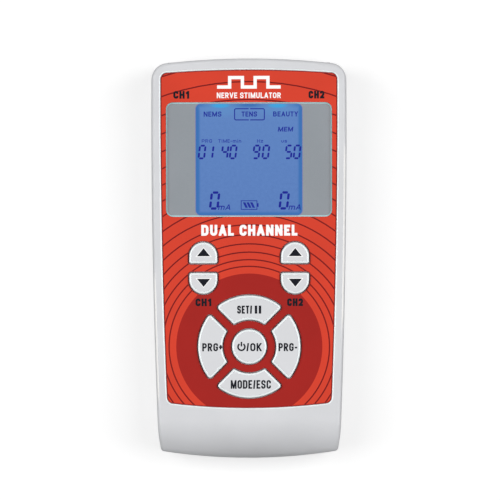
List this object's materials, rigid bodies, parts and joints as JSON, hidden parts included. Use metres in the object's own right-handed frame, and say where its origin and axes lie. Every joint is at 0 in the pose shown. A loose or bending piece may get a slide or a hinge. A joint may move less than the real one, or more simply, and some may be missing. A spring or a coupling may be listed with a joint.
{
  "type": "tens unit",
  "caption": "Hand-held nerve stimulator with a red label, a backlit display, a ring of keys, channel keys, lead sockets at the top end and a sliding battery door.",
  "frame": {"origin": "centre of the back face, on the surface that the unit lies on", "axes": "+Z out of the front face, +Y towards the lead sockets, +X to the right as the face is read"},
  "size_m": [0.0684, 0.14, 0.03],
  "materials": {
    "case_plastic": "fine satin, light grey",
    "key_plastic": "satin, light grey, with dark printed legends",
    "label_print": "orange-red printed film with a darker red area and dark contour lines",
    "lens": "clear polished acrylic",
    "mask_print": "mid-grey print behind the lens",
    "lcd_glass": "blue backlit display with dark blue segments",
    "light_guide": "clear edge-lit acrylic",
    "led_body": "small lamp body",
    "contact_rubber": "layered contact rubber",
    "mat_rubber": "soft silicone",
    "carbon_rubber": "carbon-loaded rubber",
    "white_plastic": "moulded, white",
    "board": "green solder mask over glass-fibre board",
    "black_epoxy": "moulded chip body",
    "black_plastic": "moulded, black",
    "winding": "wound and taped coil between ferrite flanges",
    "capacitor_sleeve": "dark blue sleeve",
    "cell_steel": "nickel-plated can",
    "shrink_sleeve": "green shrink sleeve",
    "connector_plastic": "moulded, off-white",
    "red_wire": "red insulation",
    "black_wire": "black insulation",
    "screw_steel": "zinc-plated"
  },
  "bodies": {
    "case": {"front_shell": "case_plastic", "rear_shell": "case_plastic", "front_label": "label_print", "screen_lens": "lens", "screen_mask": "mask_print", "keypad_mat": "mat_rubber", "lcd_panel": "lcd_glass", "backlight_guide": "light_guide", "backlight_led_left": "led_body", "backlight_led_right": "led_body", "zebra_strip": "contact_rubber", "lcd_holder": "white_plastic", "main_board": "board", "microcontroller": "black_epoxy", "transformer_ch1": "winding", "transformer_ch2": "winding", "storage_capacitor": "capacitor_sleeve", "filter_capacitor": "capacitor_sleeve", "buzzer": "black_plastic", "output_jack_ch1": "black_plastic", "output_jack_ch2": "black_plastic", "charge_socket": "black_plastic", "battery_wrap": "shrink_sleeve", "battery_header": "connector_plastic", "battery_plug": "connector_plastic", "battery_lead_positive": "red_wire", "battery_lead_negative": "black_wire", "battery_cell_1": "cell_steel", "battery_cell_2": "cell_steel", "battery_cell_3": "cell_steel", "battery_cell_4": "cell_steel", "case_screw_1": "screw_steel", "case_screw_2": "screw_steel", "case_screw_3": "screw_steel", "case_screw_4": "screw_steel", "board_screw_1": "screw_steel", "board_screw_2": "screw_steel", "board_screw_3": "screw_steel", "board_screw_4": "screw_steel"},
    "key_set": {"key_set": "key_plastic", "pill_set": "carbon_rubber"},
    "key_program_up": {"key_program_up": "key_plastic", "pill_program_up": "carbon_rubber"},
    "key_mode": {"key_mode": "key_plastic", "pill_mode": "carbon_rubber"},
    "key_program_down": {"key_program_down": "key_plastic", "pill_program_down": "carbon_rubber"},
    "key_power": {"key_power": "key_plastic", "pill_power": "carbon_rubber"},
    "key_ch1_up": {"key_ch1_up": "key_plastic", "pill_ch1_up": "carbon_rubber"},
    "key_ch1_down": {"key_ch1_down": "key_plastic", "pill_ch1_down": "carbon_rubber"},
    "key_ch2_up": {"key_ch2_up": "key_plastic", "pill_ch2_up": "carbon_rubber"},
    "key_ch2_down": {"key_ch2_down": "key_plastic", "pill_ch2_down": "carbon_rubber"},
    "battery_door": {"battery_door": "case_plastic"}
  },
  "joints": [
    {"name": "press_set", "type": "slide", "parent": "case", "child": "key_set", "axis": [0, 0, -1], "range_m": [0, 0.001], "stiffness_N_per_m": 1500},
    {"name": "press_program_up", "type": "slide", "parent": "case", "child": "key_program_up", "axis": [0, 0, -1], "range_m": [0, 0.001], "stiffness_N_per_m": 1500},
    {"name": "press_mode", "type": "slide", "parent": "case", "child": "key_mode", "axis": [0, 0, -1], "range_m": [0, 0.001], "stiffness_N_per_m": 1500},
    {"name": "press_program_down", "type": "slide", "parent": "case", "child": "key_program_down", "axis": [0, 0, -1], "range_m": [0, 0.001], "stiffness_N_per_m": 1500},
    {"name": "press_power", "type": "slide", "parent": "case", "child": "key_power", "axis": [0, 0, -1], "range_m": [0, 0.001], "stiffness_N_per_m": 1500},
    {"name": "press_ch1_up", "type": "slide", "parent": "case", "child": "key_ch1_up", "axis": [0, 0, -1], "range_m": [0, 0.001], "stiffness_N_per_m": 1500},
    {"name": "press_ch1_down", "type": "slide", "parent": "case", "child": "key_ch1_down", "axis": [0, 0, -1], "range_m": [0, 0.001], "stiffness_N_per_m": 1500},
    {"name": "press_ch2_up", "type": "slide", "parent": "case", "child": "key_ch2_up", "axis": [0, 0, -1], "range_m": [0, 0.001], "stiffness_N_per_m": 1500},
    {"name": "press_ch2_down", "type": "slide", "parent": "case", "child": "key_ch2_down", "axis": [0, 0, -1], "range_m": [0, 0.001], "stiffness_N_per_m": 1500},
    {"name": "door_slide", "type": "slide", "parent": "case", "child": "battery_door", "axis": [0, -1, 0], "range_m": [0, 0.06]}
  ]
}
